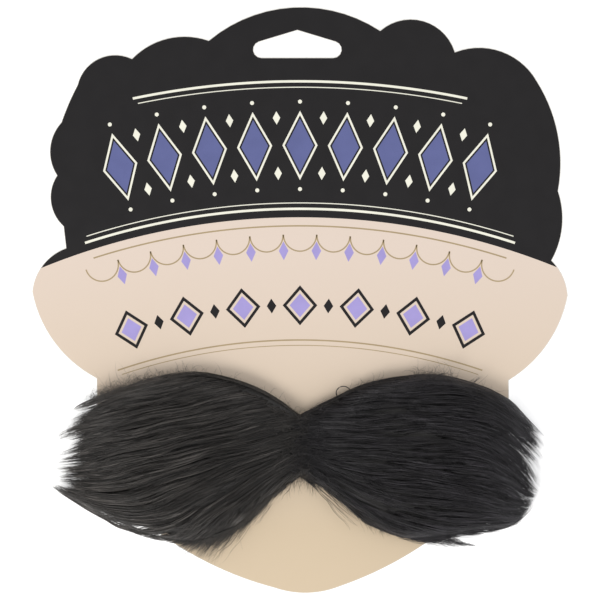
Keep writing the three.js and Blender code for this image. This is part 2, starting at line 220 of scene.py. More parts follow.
class WingForm:
    """The form of one wing. side is 1 on the right and -1 on the left."""

    def __init__(self, name, side, reach, sections, nap, overhang, ends, bare, slits):
        self.name = name
        self.side = side
        self.reach = reach
        self.sections = sections
        self.nap = nap
        self.overhang = overhang
        self.ends = ends
        self.bare = bare
        self.slits = slits

    def column(self, column, along):
        """One column of the sections at any place along them, as a smooth curve."""
        rows = self.sections
        last = len(rows) - 1
        along = np.asarray(along, float)
        i = np.clip(np.searchsorted(rows[:, 0], along, side="right") - 1, 0, last - 1)

        def slope(lower, upper):
            rise = rows[upper, column] - rows[lower, column]
            return rise / (rows[upper, 0] - rows[lower, 0])

        start_slope = slope(np.maximum(0, i - 1), i + 1)
        end_slope = slope(i, np.minimum(last, i + 2))
        span = rows[i + 1, 0] - rows[i, 0]
        t = (along - rows[i, 0]) / span
        return (
            (2 * t**3 - 3 * t**2 + 1) * rows[i, column]
            + (t**3 - 2 * t**2 + t) * span * start_slope
            + (3 * t**2 - 2 * t**3) * rows[i + 1, column]
            + (t**3 - t**2) * span * end_slope
        )

    def edges(self, along):
        """Heights of the top and the bottom edge over the wing's middle line."""
        rise = KNOT_HALF_HEIGHT + (WING_RISE - KNOT_HALF_HEIGHT) * self.column(TOP, along)
        fall = KNOT_HALF_HEIGHT + (WING_FALL - KNOT_HALF_HEIGHT) * self.column(BOTTOM, along)
        return rise, -fall

    def breadth(self, along):
        top, bottom = self.edges(along)
        return top - bottom

    def pile(self, along, across):
        """Height of the fur above the cloth. It rounds off at the edges."""
        full = KNOT_PILE + (BELLY_PILE - KNOT_PILE) * self.column(PILE, along)
        return full * np.sqrt(np.clip(1 - np.abs(across) ** 3, 0, 1))

    def shares(self, plan):
        """Along and across the wing, for places in plan. Past the seam along is below 0."""
        along = self.side * plan[..., 0] / self.reach
        top, bottom = self.edges(np.minimum(np.abs(along), 1.02))
        middle = MOUSTACHE_MIDDLE + (top + bottom) / 2
        return along, (plan[..., 1] - middle) / ((top - bottom) / 2)

    def plan(self, along, across):
        """Places in plan at given shares along and across the wing."""
        top, bottom = self.edges(np.minimum(np.abs(along), 1.02))
        rise = (top + bottom) / 2 + across * (top - bottom) / 2
        return np.stack([self.side * along * self.reach, MOUSTACHE_MIDDLE + rise], axis=-1)

    def measured(self, plan):
        """Millimetres out from the seam and up from the middle line, for places in plan."""
        return self.side * plan[..., 0] / MM, (plan[..., 1] - MOUSTACHE_MIDDLE) / MM

    def cloth_across(self, along, unit, inset):
        """Shares across the cloth for -1 to 1 from its bottom edge to its top edge."""
        breadth = self.breadth(along)
        low = inset + MM * np.interp(along, self.bare[:, 0], self.bare[:, 1])
        return np.where(unit < 0, unit * (1 - 2 * low / breadth), unit * (1 - 2 * inset / breadth))

    def parted(self, plan):
        """Moves places in plan out of the slits between hairs."""
        out, up = self.measured(plan)
        for slit_out, slit_up, half_length, half_width, fall in self.slits:
            c, s = math.cos(math.radians(fall)), math.sin(math.radians(fall))
            u = ((out - slit_out) * c - (up - slit_up) * s) / half_length
            v = (out - slit_out) * s + (up - slit_up) * c
            opening = half_width * np.clip(1 - u**2, 0, 1)
            reach = 3.5 * half_width
            near = np.clip(1 - np.abs(v) / reach, 0, 1)
            push = np.where(v < 0, -1, 1) * opening * near
            out = out + push * s
            up = up + push * c
        return np.stack([self.side * out * MM, MOUSTACHE_MIDDLE + up * MM], axis=-1)

    def nap_angle(self, plan):
        """How far below level the hairs point, in radians."""
        along, across = self.shares(plan)
        rows = self.nap
        i = np.clip(np.searchsorted(rows[:, 0], along, side="right") - 1, 0, len(rows) - 2)
        s = np.clip((along - rows[i, 0]) / (rows[i + 1, 0] - rows[i, 0]), 0, 1)
        column = np.clip(2 * (across + 1), 0, 3.999)
        j = column.astype(int) + 1
        t = column - np.floor(column)
        inner = rows[i, j] * (1 - t) + rows[i, j + 1] * t
        outer = rows[i + 1, j] * (1 - t) + rows[i + 1, j + 1] * t
        return np.radians(inner * (1 - s) + outer * s)

    def height(self, plan, lie):
        """Height of a hair that lies at a share of the fur's own height."""
        along, across = self.shares(plan)
        share = self.column(PILE, np.minimum(np.abs(along), 1))
        full = KNOT_PILE + (BELLY_PILE - KNOT_PILE) * share
        rounded = np.sqrt(np.clip(1 - np.abs(across) ** EDGE_FALL, EDGE_LEVEL, 1))
        return CLOTH_TOP + full * lie * rounded

    def point(self, along, across, height_share):
        """Points at shares of the fur's height, with x, y and z last."""
        top, bottom = self.edges(np.abs(along))
        rounded_off = END_ROUNDING * along**3 * across**2
        return np.stack(
            [
                self.side * (along * self.reach - rounded_off),
                MOUSTACHE_MIDDLE + (top + bottom) / 2 + across * (top - bottom) / 2,
                CLOTH_TOP + self.pile(np.abs(along), across) * height_share,
            ],
            axis=-1,
        )


LEFT_TABLES = (LEFT_SECTIONS, LEFT_NAP, LEFT_OVERHANG, LEFT_ENDS, LEFT_BARE, LEFT_SLITS)
RIGHT_TABLES = (RIGHT_SECTIONS, RIGHT_NAP, RIGHT_OVERHANG, RIGHT_ENDS, RIGHT_BARE, RIGHT_SLITS)
WINGS = {
    "left": WingForm("left", -1, LEFT_REACH, *LEFT_TABLES),
    "right": WingForm("right", 1, RIGHT_REACH, *RIGHT_TABLES),
}


def colour_setting(name, description, default):
    return FloatVectorProperty(
        name=name, description=description, default=default, subtype="COLOR", min=0, max=1, size=3
    )


def length_setting(name, description, default):
    return FloatProperty(name=name, description=description, default=default, unit="LENGTH", precision=5)


class CardSettings(bpy.types.PropertyGroup):
    edge_round: length_setting("Edge round", "Rounding of the board's pressed edge", 0.12 * MM)
    print_margin: length_setting("Print margin", "Bare board round the print", 0.3 * MM)
    ink_thickness: length_setting("Ink", "Thickness of a printed layer", 0.03 * MM)
    arch_crest: length_setting("Arch crest", "Top of the pale field over the card's middle", 31 * MM)
    arch_radius: length_setting("Arch radius", "Radius of the pale field's arched top", 257 * MM)
    paper: colour_setting("Paper", "The board where it isn't printed", (0.75, 0.73, 0.69))
    pale: colour_setting("Pale field", "Lower part of the print", (0.69, 0.58, 0.5))
    foot: colour_setting("Foot", "The pale field's foot, under the moustache", (0.60, 0.485, 0.345))
    dark: colour_setting("Dark field", "Upper part of the print", (0.0108, 0.0098, 0.0107))
    slate: colour_setting("Slate blue", "Lozenges", (0.11, 0.125, 0.29))
    cream: colour_setting("Cream", "Outlines and dots on the dark field", (0.80, 0.79, 0.68))
    tan: colour_setting("Tan", "Fine lines on the pale field", (0.38, 0.29, 0.17))
    lavender: colour_setting("Lavender", "Small lozenges on the pale field", (0.35, 0.3, 0.61))


class FurSettings(bpy.types.PropertyGroup):
    strands: IntProperty(name="Strands", description="Strands in a wing's top coat", default=980)
    hair_width: length_setting("Hair width", "Thickness of a hair at its root", 0.2 * MM)
    wisp_width: length_setting("Wisp width", "Thickness of a stray hair at its root", 0.14 * MM)
    # Painted light: the left wing's hair colours are lighter and browner than the right's, for the warm
    # key light on the left and the cooler fill light on the right.
    left_dark: colour_setting("Left, dark", "Darkest hairs of the left wing", (0.018, 0.0163, 0.0153))
    left_light: colour_setting("Left, light", "Lightest hairs of the left wing", (0.2, 0.182, 0.168))
    right_dark: colour_setting("Right, dark", "Darkest hairs of the right wing", (0.0084, 0.0075, 0.009))
    right_light: colour_setting("Right, light", "Lightest hairs of the right wing", (0.074, 0.068, 0.079))
    seed: IntProperty(name="Seed", description="Start of the random draws", default=11)


class StageSettings(bpy.types.PropertyGroup):
    lens: FloatProperty(name="Lens", description="Focal length in millimetres", default=150)
    floor: colour_setting("Floor", "The plain pale floor", (0.93, 0.93, 0.93))
    sky: FloatProperty(name="Sky", description="Strength of the even light", default=0.72)
    key: FloatProperty(name="Key", description="Power of the soft light on the left", default=7)


class MoustacheSettings(bpy.types.PropertyGroup):
    card: PointerProperty(type=CardSettings)
    fur: PointerProperty(type=FurSettings)
    stage: PointerProperty(type=StageSettings)


def settings():
    return bpy.context.scene.moustache


def deselect_all():
    bpy.ops.object.select_all(action="DESELECT")


def make_active(obj):
    deselect_all()
    obj.select_set(True)
    bpy.context.view_layer.objects.active = obj


def edit_mesh(obj):
    """Opens obj in edit mode with nothing selected, and gives its bmesh."""
    make_active(obj)
    bpy.ops.object.mode_set(mode="EDIT")
    bpy.ops.mesh.select_mode(type="FACE")
    bpy.ops.mesh.select_all(action="DESELECT")
    return bmesh.from_edit_mesh(obj.data)


def select_mesh():
    bpy.ops.mesh.select_all(action="SELECT")


def leave_edit():
    bpy.ops.object.mode_set(mode="OBJECT")


def new_object(name, data):
    made = bpy.data.objects.new(name, data)
    bpy.context.scene.collection.objects.link(made)
    return made


def apply_modifier(obj, kind, **values):
    make_active(obj)
    modifier = obj.modifiers.new(kind.title(), kind)
    for name, value in values.items():
        setattr(modifier, name, value)
    bpy.ops.object.modifier_apply(modifier=modifier.name)


def copy_of_node(node, name):
    """A new object with a merged copy of a CAD node's mesh."""
    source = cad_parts[node]
    mesh = source.data.copy()
    mesh.name = name
    mesh.materials.clear()
    obj = new_object(name, mesh)
    edit_mesh(obj)
    select_mesh()
    bpy.ops.mesh.remove_doubles(threshold=MERGE_DISTANCE)
    bpy.ops.mesh.customdata_custom_splitnormals_clear()
    leave_edit()
    bpy.ops.object.shade_flat()
    return obj


def settle(obj, replaces=None):
    """Applies a finished piece's place, ties it to the root, and hides the node that it stands for, if
    any.
    """
    make_active(obj)
    bpy.ops.object.transform_apply(location=True, rotation=True, scale=True)
    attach(obj, "root")
    if replaces:
        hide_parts(replaces)


def remove(obj):
    bpy.data.objects.remove(obj, do_unlink=True)


class Shader:
    """A material under construction."""

    def __init__(self, name, **sockets):
        self.material = bpy.data.materials.new(name)
        self.material.use_nodes = True
        self.tree = self.material.node_tree
        self.principled = self.tree.nodes["Principled BSDF"]
        for socket, value in sockets.items():
            self.principled.inputs[socket.replace("_", " ")].default_value = value

    def node(self, kind, **values):
        made = self.tree.nodes.new("ShaderNode" + kind)
        for name, value in values.items():
            if name in made.inputs:
                made.inputs[name].default_value = value
            else:
                setattr(made, name, value)
        return made

    def link(self, source, target):
        self.tree.links.new(source, target)

    def place(self):
        return self.node("TexCoord").outputs["Object"]

    def noise(self, vector, scale, detail=4.0, stretch=(1, 1, 1)):
        mapping = self.node("Mapping")
        mapping.inputs["Scale"].default_value = stretch
        self.link(vector, mapping.inputs["Vector"])
        made = self.node("TexNoise", Scale=scale, Detail=detail)
        self.link(mapping.outputs["Vector"], made.inputs["Vector"])
        return made.outputs["Fac"]

    def ramp(self, factor, low, high, start=0.3, end=0.7):
        made = self.node("ValToRGB")
        made.color_ramp.elements[0].position = start
        made.color_ramp.elements[1].position = end
        made.color_ramp.elements[0].color = (*low, 1)
        made.color_ramp.elements[1].color = (*high, 1)
        self.link(factor, made.inputs["Fac"])
        return made.outputs["Color"]

    def to_range(self, factor, low, high, start=0.3, end=0.7):
        made = self.node("MapRange")
        for socket, value in (("From Min", start), ("From Max", end), ("To Min", low), ("To Max", high)):
            made.inputs[socket].default_value = value
        self.link(factor, made.inputs["Value"])
        return made.outputs["Result"]

    def colour(self, output):
        self.link(output, self.principled.inputs["Base Color"])

    def roughness(self, output):
        self.link(output, self.principled.inputs["Roughness"])

    def bump(self, height, distance):
        made = self.node("Bump", Distance=distance)
        self.link(height, made.inputs["Height"])
        self.link(made.outputs["Normal"], self.principled.inputs["Normal"])


def shaded(colour, factor):
    return tuple(min(1.0, c * factor) for c in colour)


def paper_material(name, colour, depth):
    """Uncoated board: matt, with fibres and small specks."""
    shader = Shader(name, Roughness=0.85)
    place = shader.place()
    fibres = shader.noise(place, 900, stretch=(1, 1.5, 1))
    shader.colour(shader.ramp(fibres, shaded(colour, 0.95), shaded(colour, 1.04)))
    shader.bump(shader.noise(place, 2200), depth)
    return shader.material


def ink_material(name, colour, second=None, roughness=0.36):
    """Printed and varnished ink: smooth, with a faint mottle. It may fade to a second colour."""
    shader = Shader(name, Roughness=roughness, Specular_IOR_Level=0.22)
    place = shader.place()
    mottle = shader.noise(place, 140, detail=6)
    if second is None:
        shader.colour(shader.ramp(mottle, shaded(colour, 0.95), shaded(colour, 1.05)))
    else:
        height = shader.node("SeparateXYZ")
        shader.link(place, height.inputs["Vector"])
        fade = shader.to_range(height.outputs["Y"], 0, 1, -0.085, 0.02)
        mix = shader.node("Mix", data_type="RGBA")
        shader.link(fade, mix.inputs["Factor"])
        mix.inputs[6].default_value = (*second, 1)
        mix.inputs[7].default_value = (*colour, 1)
        shader.colour(mix.outputs[2])
    shader.roughness(shader.to_range(mottle, roughness - 0.04, roughness + 0.05))
    shader.bump(shader.noise(place, 1500, detail=3), 0.000004)
    return shader.material


def adhesive_material():
    shader = Shader("adhesive", Roughness=0.45)
    place = shader.place()
    flow = shader.noise(place, 120, stretch=(1, 3, 1))
    shader.colour(shader.ramp(flow, (0.66, 0.6, 0.47), (0.8, 0.75, 0.63)))
    shader.bump(flow, 0.00005)
    return shader.material


def cloth_material(fur):
    """The knitted cloth that the fur grows from: fine ribs of loops."""
    shader = Shader("backing_cloth", Roughness=0.9)
    place = shader.place()
    ribs = shader.node("TexWave", Scale=420, Distortion=1.5, Detail=2)
    shader.link(place, ribs.inputs["Vector"])
    rows = shader.node("TexWave", Scale=520, Distortion=1.5, Detail=2, bands_direction="Y")
    shader.link(place, rows.inputs["Vector"])
    weave = shader.node("Math", operation="MULTIPLY")
    shader.link(ribs.outputs["Fac"], weave.inputs[0])
    shader.link(rows.outputs["Fac"], weave.inputs[1])
    dark, light = shaded(fur.right_dark, 0.6), shaded(fur.left_dark, 2)
    shader.colour(shader.ramp(weave.outputs["Value"], dark, light, 0.1, 0.8))
    shader.bump(weave.outputs["Value"], 0.00015)
    return shader.material


def dense_fur_material(fur):
    """The thick fur beneath the long hairs, with its fibres lying along the wings."""
    shader = Shader("dense_fur", Roughness=0.6)
    place = shader.place()
    fibres = shader.noise(place, 1400, detail=5, stretch=(0.12, 1, 1))
    # Painted shade: the dense fur is darker than the long hairs, for the shade in the gaps between them.
    shader.colour(shader.ramp(fibres, shaded(fur.left_dark, 0.45), shaded(fur.left_dark, 1.3)))
    shader.bump(fibres, 0.0003)
    return shader.material


def hair_material(side, dark, light):
    """Silky black synthetic hair. The attribute shade, along each hair, varies it."""
    # One copy per wing; the copies differ only in painted light, from each wing's own colours.
    shader = Shader(side + "_black_hair", Roughness=0.4)
    shade = shader.node("Attribute", attribute_name="shade").outputs["Fac"]
    shader.colour(shader.ramp(shade, dark, light, 0.0, 1.0))
    shader.roughness(shader.to_range(shade, 0.46, 0.32, 0, 1))
    return shader.material


def flat_front(name, margin):
    """The card's front face alone, drawn in by a margin, as a flat mesh."""
    obj = copy_of_node("card", name)
    mesh = edit_mesh(obj)
    for face in mesh.faces:
        face.select = face.normal.z < FRONT_FACE
    bmesh.update_edit_mesh(obj.data)
    bpy.ops.mesh.delete(type="FACE")
    select_mesh()
    bpy.ops.mesh.dissolve_limited(angle_limit=FLAT_ANGLE)
    select_mesh()
    bpy.ops.mesh.inset(thickness=margin, use_boundary=True, use_even_offset=True)
    bpy.ops.mesh.select_all(action="INVERT")
    bpy.ops.mesh.delete(type="FACE")
    leave_edit()
    return obj


def raise_ink(obj, thickness):
    """Turns flat faces that look upwards into a thin closed layer."""
    edit_mesh(obj)
    select_mesh()
    bpy.ops.mesh.extrude_region_move(TRANSFORM_OT_translate={"value": (0, 0, thickness)})
    select_mesh()
    bpy.ops.mesh.normals_make_consistent(inside=False)
    leave_edit()


def arch_prism(card):
    """A tall round slab whose top is the arch between the dark field and the pale one."""
    deselect_all()
    bpy.ops.mesh.primitive_cylinder_add(
        vertices=720,
        radius=card.arch_radius,
        depth=20 * MM,
        location=(0, card.arch_crest - card.arch_radius, CARD_FACE),
    )
    return bpy.context.object


class MOUSTACHE_OT_board(bpy.types.Operator):
    """The die-cut board, with pressed edges and an unprinted back"""

    bl_idname = "moustache.board"
    bl_label = "Board"

    def execute(self, context):
        card = settings().card
        board = copy_of_node("card", "card_board")
        edit_mesh(board)
        select_mesh()
        bpy.ops.mesh.dissolve_limited(angle_limit=FLAT_ANGLE)
        bpy.ops.mesh.select_all(action="DESELECT")
        bpy.ops.mesh.select_mode(type="EDGE")
        mesh = bmesh.from_edit_mesh(board.data)
        for edge in mesh.edges:
            steep = [abs(face.normal.z) < SIDE_FACE for face in edge.link_faces]
            edge.select = len(steep) == 2 and steep[0] != steep[1]
        bmesh.update_edit_mesh(board.data)
        bpy.ops.mesh.bevel(offset=card.edge_round, segments=2, profile=0.5)
        leave_edit()
        board.data.materials.append(paper_material("bare_board", card.paper, 0.00002))
        settle(board, "card")
        bpy.ops.object.shade_smooth_by_angle(angle=math.radians(15))
        return {"FINISHED"}


class MOUSTACHE_OT_fields(bpy.types.Operator):
    """The two printed fields, dark above and pale below an arch"""

    bl_idname = "moustache.fields"
    bl_label = "Printed fields"

    def execute(self, context):
        card = settings().card
        prism = arch_prism(card)
        for name, operation, material in (
            ("print_dark_field", "DIFFERENCE", ink_material("dark_ink", card.dark, None, 0.42)),
            ("print_pale_field", "INTERSECT", ink_material("pale_ink", card.pale, card.foot)),
        ):
            field = flat_front(name, card.print_margin)
            raise_ink(field, card.ink_thickness)
            apply_modifier(field, "BOOLEAN", object=prism, operation=operation, solver="EXACT")
            field.data.materials.clear()
            field.data.materials.append(material)
            settle(field)
        remove(prism)
        return {"FINISHED"}


def printed_arc(name, card, centre, radius, width, start, sweep, steps, material):
    """A printed line along an arc, spun clockwise from a short edge. The angle start is measured
    anticlockwise from straight above the centre."""
    deselect_all()
    bpy.ops.mesh.primitive_plane_add(size=width, location=centre + Vector((0, radius, 0)))
    obj = bpy.context.object
    obj.name = obj.data.name = name
    bpy.ops.object.transform_apply(location=True)
    mesh = edit_mesh(obj)
    bpy.ops.mesh.select_mode(type="VERT")
    for vertex in mesh.verts:
        vertex.select = vertex.co.x > centre.x
    bmesh.update_edit_mesh(obj.data)
    bpy.ops.mesh.delete(type="VERT")
    mesh = bmesh.from_edit_mesh(obj.data)
    turn = Matrix.Rotation(start, 3, "Z")
    for vertex in mesh.verts:
        vertex.co.x = centre.x
        vertex.co = centre + turn @ (vertex.co - centre)
    bmesh.update_edit_mesh(obj.data)
    select_mesh()
    bpy.ops.mesh.spin(steps=steps, angle=sweep, center=centre, axis=(0, 0, 1))
    select_mesh()
    bpy.ops.mesh.remove_doubles(threshold=MERGE_DISTANCE)
    bpy.ops.mesh.normals_make_consistent(inside=False)
    leave_edit()
    raise_ink(obj, card.ink_thickness)
    obj.data.materials.append(material)
    return obj


def arch_centre(card):
    """The middle of the arch's circle, at the height where overprinted layers start."""
    return Vector((0, card.arch_crest - card.arch_radius, CARD_FACE + card.ink_thickness / 2))


ARC_STEPS, SCALLOP_STEPS = 96, 24
# Printed lines that follow the arch: name, colour, how far above the arch, width (in millimetres)
# and half the angle that the line takes up.
ARCH_LINES = (
    ("print_arch_line", "cream", 3.2, 0.9, 0.315),
    ("print_arch_hairline", "cream", 5.4, 0.35, 0.31),
    ("print_upper_line", "cream", 51, 0.9, 0.205),
    ("print_upper_hairline", "cream", 48.8, 0.35, 0.2),
    ("print_tan_line", "tan", -3.2, 0.55, 0.31),
    ("print_lower_line", "tan", -46, 0.55, 0.33),
    ("print_lower_hairline", "tan", -48, 0.3, 0.325),
)


class MOUSTACHE_OT_arch_lines(bpy.types.Operator):
    """Fine printed lines along the arch"""

    bl_idname = "moustache.arch_lines"
    bl_label = "Arch lines"

    def execute(self, context):
        card = settings().card
        inks = {
            "cream": ink_material("cream_line_ink", card.cream),
            "tan": ink_material("tan_line_ink", card.tan),
        }
        for name, ink, above, width, half_angle in ARCH_LINES:
            radius = card.arch_radius + above * MM
            sweep = 2 * half_angle
            line = printed_arc(
                name, card, arch_centre(card), radius, width * MM, half_angle, sweep, ARC_STEPS, inks[ink]
            )
            settle(line)
        return {"FINISHED"}


def flat_shape(sides, width, height):
    """A flat shape with equal sides, such as a lozenge or a dot, centred on the origin."""
    deselect_all()
    bpy.ops.mesh.primitive_circle_add(vertices=sides, radius=0.5, fill_type="NGON")
    shape = bpy.context.object
    shape.scale = (width, height, 1)
    bpy.ops.object.transform_apply(scale=True)
    return shape


def flat_stamp(card, sides, width, height, material):
    """A small print in one ink."""
    stamp = flat_shape(sides, width, height)
    raise_ink(stamp, card.ink_thickness)
    stamp.data.materials.append(material)
    return stamp


def framed_lozenge(card, width, height, border, frame_ink, core_ink):
    """A lozenge with an outline, a gap and a core in a second ink."""
    lozenge = flat_shape(4, width, height)
    lozenge.data.materials.append(frame_ink)
    lozenge.data.materials.append(core_ink)
    edit_mesh(lozenge)
    select_mesh()
    bpy.ops.mesh.inset(thickness=border)
    bpy.ops.mesh.inset(thickness=0.8 * border)
    lozenge.active_material_index = 1
    bpy.ops.object.material_slot_assign()
    mesh = bmesh.from_edit_mesh(lozenge.data)
    for face in mesh.faces:
        at_rim = any(edge.is_boundary for edge in face.edges)
        face.select = face.material_index == 0 and not at_rim
    bmesh.update_edit_mesh(lozenge.data)
    bpy.ops.mesh.delete(type="FACE")
    leave_edit()
    raise_ink(lozenge, card.ink_thickness)
    return lozenge


def fan_out(name, card, rows):
    """Copies small prints along the arch and joins them. Each row is a print, how many copies, how
    far apart they are along the arch and how far they lie above it, in millimetres."""
    centre = arch_centre(card)
    pieces = []
    for source, count, pitch, above in rows:
        outwards = Matrix.Translation((0, card.arch_radius + above * MM, 0))
        for n in range(count):
            angle = (n - (count - 1) / 2) * pitch * MM / card.arch_radius
            piece = source.copy()
            piece.data = source.data.copy()
            bpy.context.scene.collection.objects.link(piece)
            piece.matrix_world = Matrix.Translation(centre) @ Matrix.Rotation(-angle, 4, "Z") @ outwards
            pieces.append(piece)
    for source in {row[0] for row in rows}:
        remove(source)
    deselect_all()
    for piece in pieces:
        piece.select_set(True)
    bpy.context.view_layer.objects.active = pieces[0]
    bpy.ops.object.join()
    joined_print = bpy.context.object
    joined_print.name = joined_print.data.name = name
    settle(joined_print)


class MOUSTACHE_OT_lozenges(bpy.types.Operator):
    """The band of slate-blue lozenges on the dark field, with small cream ones between them"""

    bl_idname = "moustache.lozenges"
    bl_label = "Lozenge band"

    def execute(self, context):
        card = settings().card
        cream = ink_material("cream_ink", card.cream)
        slate = ink_material("slate_ink", card.slate)
        large = framed_lozenge(card, 13.2 * MM, 26 * MM, 0.75 * MM, cream, slate)
        small = flat_stamp(card, 4, 2.8 * MM, 5 * MM, cream)
        dot = flat_stamp(card, 24, 1.5 * MM, 1.5 * MM, cream)
        rows = (
            (large, 9, 15.4, 27),
            (small, 8, 15.4, 37.4),
            (small, 8, 15.4, 16.6),
            (dot, 9, 15.4, 43.4),
            (dot, 9, 15.4, 10.6),
        )
        fan_out("print_lozenges", card, rows)
        return {"FINISHED"}


class MOUSTACHE_OT_garland(bpy.types.Operator):
    """Scallops and small lozenges on the pale field, in low contrast"""

    bl_idname = "moustache.garland"
    bl_label = "Garland"

    def execute(self, context):
        card = settings().card
        tan = ink_material("tan_scallop_ink", card.tan)
        lavender = ink_material("lavender_ink", card.lavender)
        dark = ink_material("dark_lozenge_ink", card.dark)
        start, sweep = -math.pi / 2, math.pi
        scallop = printed_arc(
            "scallop", card, Vector((0, 0, 0)), 6.2 * MM, 0.5 * MM, start, sweep, SCALLOP_STEPS, tan
        )
        drop = flat_stamp(card, 4, 3.6 * MM, 7 * MM, lavender)
        middle = framed_lozenge(card, 13 * MM, 15 * MM, 1.1 * MM, dark, lavender)
        between = flat_stamp(card, 4, 3.6 * MM, 5.6 * MM, dark)
        rows = (
            (scallop, 13, 12.9, -6.5),
            (drop, 12, 12.9, -12.5),
            (middle, 7, 24.5, -33),
            (between, 6, 24.5, -33),
        )
        fan_out("print_garland", card, rows)
        return {"FINISHED"}


class MOUSTACHE_OT_strip(bpy.types.Operator):
    """The adhesive under the cloth"""

    bl_idname = "moustache.strip"
    bl_label = "Sticky strip"

    def execute(self, context):
        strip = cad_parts["sticky_strip"]
        strip.data.materials.clear()
        strip.data.materials.append(adhesive_material())
        return {"FINISHED"}


CLOTH_COLUMNS = 48
CLOTH_ROWS = 24
FUR_COLUMNS = 60
FUR_ROWS = 90
DENSE_SHARE = 0.74
RIDGES = 14
RIDGE_DEPTH = 0.03
# The cloth's cut end, which curves back towards its corners.
CLOTH_END = 3 * MM
CLOTH_CORNERS = 5 * MM
# The dense fur reaches nearly to the edges, and its end is ragged.
DENSE_INSET = 0.5 * MM
DENSE_END = 2 * MM
NOTCH_DEPTH = 3 * MM
# How far over the cloth the dense fur's foot lies, and its crown over the form's own height.
DENSE_FOOT, DENSE_LIFT = 0.02 * MM, 0.1 * MM
# Where the cloth and the dense fur start along a wing. The fur of both wings meets over the seam.
CLOTH_START = 0.0002
DENSE_START = -0.001


def cloth_end(form, unit_across):
    """How far along the cloth reaches, from its bottom edge (-1) to its top edge (1)."""
    back = CLOTH_HAIR_OVERHANG + CLOTH_END + CLOTH_CORNERS * unit_across**2
    return 1 - back / form.reach


def unit_grid(name, columns, rows):
    """A flat grid that goes from -1 to 1 both ways."""
    deselect_all()
    bpy.ops.mesh.primitive_grid_add(x_subdivisions=columns, y_subdivisions=rows, size=2)
    grid = bpy.context.object
    grid.name = grid.data.name = name
    return grid


def make_cloth(form, material):
    """The knitted cloth of one wing: a grid, laid out in the wing's form and thickened."""
    cloth = unit_grid(form.name + "_cloth", CLOTH_COLUMNS, CLOTH_ROWS)
    vertices = cloth.data.vertices
    flat = np.empty(len(vertices) * 3)
    vertices.foreach_get("co", flat)
    unit = flat.reshape(-1, 3)
    along = CLOTH_START + (cloth_end(form, unit[:, 1]) - CLOTH_START) * (unit[:, 0] + 1) / 2
    across = form.cloth_across(along, unit[:, 1], CLOTH_EDGE_INSET)
    placed = form.point(along, across, 0)
    placed[:, 2] = CLOTH_TOP
    vertices.foreach_set("co", placed.ravel())
    edit_mesh(cloth)
    select_mesh()
    if form.side < 0:
        bpy.ops.mesh.flip_normals()
    leave_edit()
    apply_modifier(cloth, "SOLIDIFY", thickness=CLOTH_THICKNESS, offset=-1)
    cloth.data.materials.append(material)
    settle(cloth, form.name + "_wing")


def make_dense_fur(form, material):
    """The thick fur on the cloth: a ridged mound under the long hairs, flat beneath."""
    fur = unit_grid(form.name + "_dense_fur", FUR_COLUMNS, FUR_ROWS)
    mesh = edit_mesh(fur)
    unit = np.array([vertex.co[:] for vertex in mesh.verts])
    outwards = (unit[:, 0] + 1) / 2
    notches = np.abs(np.sin(23 * unit[:, 1]) * np.sin(41 * unit[:, 1] + 1)) ** 0.7
    end = cloth_end(form, unit[:, 1]) - (DENSE_END + NOTCH_DEPTH * notches) / form.reach
    along = DENSE_START + (end - DENSE_START) * outwards
    across = form.cloth_across(along, unit[:, 1], DENSE_INSET)
    ridges = RIDGE_DEPTH * np.sin(np.pi * RIDGES * (across + 0.05 * waviness(form.plan(along, across))))
    crown = form.point(along, across, (DENSE_SHARE + ridges) * np.sqrt(1 - 0.9 * outwards**8))
    for vertex, place in zip(mesh.verts, crown):
        vertex.co = (place[0], place[1], CLOTH_TOP + DENSE_FOOT)
    bmesh.update_edit_mesh(fur.data)
    select_mesh()
    if form.side < 0:
        bpy.ops.mesh.flip_normals()
    bpy.ops.mesh.extrude_region_move()
    mesh = bmesh.from_edit_mesh(fur.data)
    lifted = [vertex for vertex in mesh.verts if vertex.select]
    for vertex, place in zip(lifted, crown):
        vertex.co.z = place[2] + DENSE_LIFT
    bmesh.update_edit_mesh(fur.data)
    select_mesh()
    bpy.ops.mesh.normals_make_consistent(inside=False)
    leave_edit()
    fur.data.materials.append(material)
    settle(fur, form.name + "_wing")
    bpy.ops.object.shade_smooth()


class MOUSTACHE_OT_backing(bpy.types.Operator):
    """The cloth of both wings and the dense fur on it"""

    bl_idname = "moustache.backing"
    bl_label = "Cloth and dense fur"

    def execute(self, context):
        cloth = cloth_material(settings().fur)
        dense = dense_fur_material(settings().fur)
        for form in WINGS.values():
            make_cloth(form, cloth)
            make_dense_fur(form, dense)
        return {"FINISHED"}


def unit_vectors(v):
    return v / np.maximum(np.linalg.norm(v, axis=-1, keepdims=True), 1e-12)


